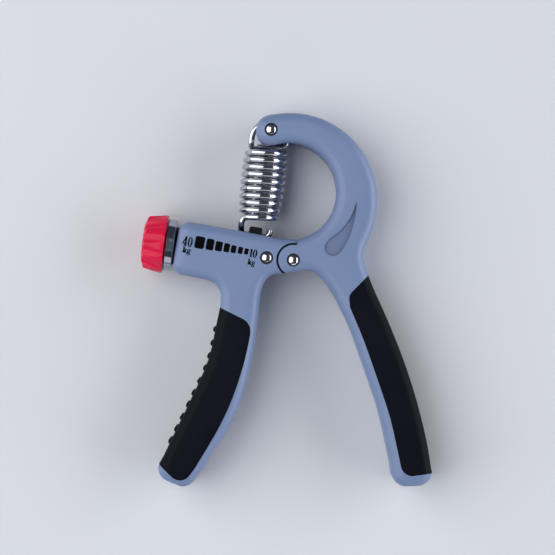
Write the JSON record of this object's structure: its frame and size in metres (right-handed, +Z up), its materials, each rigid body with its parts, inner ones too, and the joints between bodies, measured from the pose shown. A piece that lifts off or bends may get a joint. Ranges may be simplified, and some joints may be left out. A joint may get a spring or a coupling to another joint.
{
  "type": "hand grip strengthener",
  "caption": "Adjustable hand grip strengthener: two riveted handles with rubber pads, a curved arm, a tension spring and a knob that moves its hook along a screw.",
  "frame": {"origin": "on the pivot's axis, in the plane of the flat back faces on which the grip lies", "axes": "+Z up out of the front faces along the pivot, +Y from the handles' ends towards the curved arm's tip, +X towards the right handle"},
  "size_m": [0.1217, 0.1553, 0.025],
  "materials": {
    "handle_plastic": "satin moulded grey-blue plastic",
    "pad_rubber": "near-black soft rubber, matt",
    "rivet_chrome": "polished domed rivet heads",
    "bush_brass": "turned brass",
    "washer_nylon": "natural nylon",
    "steel": "zinc plated steel",
    "bearing_plastic": "black moulded plastic",
    "carriage_plastic": "black glass-filled plastic",
    "knob_plastic": "glossy red moulded plastic",
    "collar_metal": "silver brushed collar",
    "spring_chrome": "bright chromed spring wire"
  },
  "bodies": {
    "left_body": {"left_handle": "handle_plastic", "left_grip_pad": "pad_rubber", "arm_rivet": "rivet_chrome", "end_bearing": "bearing_plastic", "front_bush": "bearing_plastic", "pivot_bush": "bush_brass"},
    "right_body": {"right_handle": "handle_plastic", "right_grip_pad": "pad_rubber", "pivot_rivet": "rivet_chrome", "pivot_washers": "washer_nylon", "tip_rivet": "rivet_chrome", "tip_sleeve": "steel"},
    "dial": {"adjusting_screw": "steel", "retaining_clip": "steel", "knob": "knob_plastic", "knob_collar": "collar_metal", "knob_pin": "steel"},
    "carriage_body": {"carriage": "carriage_plastic", "carriage_nut": "bush_brass"},
    "spring": {"tension_spring": "spring_chrome"}
  },
  "joints": [
    {"name": "squeeze", "type": "hinge", "parent": "left_body", "child": "right_body", "pos_m": [0, 0, 0.0125], "axis": [0, 0, -1], "range_deg": [0, 48], "stiffness_Nm_per_rad": 4, "springref_deg": -57.3, "deforming": ["tension_spring"]},
    {"name": "knob_turn", "type": "hinge", "parent": "left_body", "child": "dial", "pos_m": [-0.0111, 0.00095, 0.0125], "axis": [0.9912, -0.1323, 0], "range_deg": [0, 5520]},
    {"name": "carriage_slide", "type": "slide", "parent": "left_body", "child": "carriage_body", "axis": [-0.9912, 0.1323, 0], "range_m": [0, 0.023]},
    {"name": "hook_swing", "type": "hinge", "parent": "right_body", "child": "spring", "pos_m": [-0.0092, 0.0541, 0.0125], "axis": [0, 0, -1], "range_deg": [0, 27.2], "deforming": ["tension_spring"]}
  ],
  "couplings": [
    {"joint": "carriage_slide", "follows": "knob_turn", "m_per_rad": 0.00023873},
    {"joint": "hook_swing", "follows": "knob_turn", "ratio": 0.0049275}
  ]
}
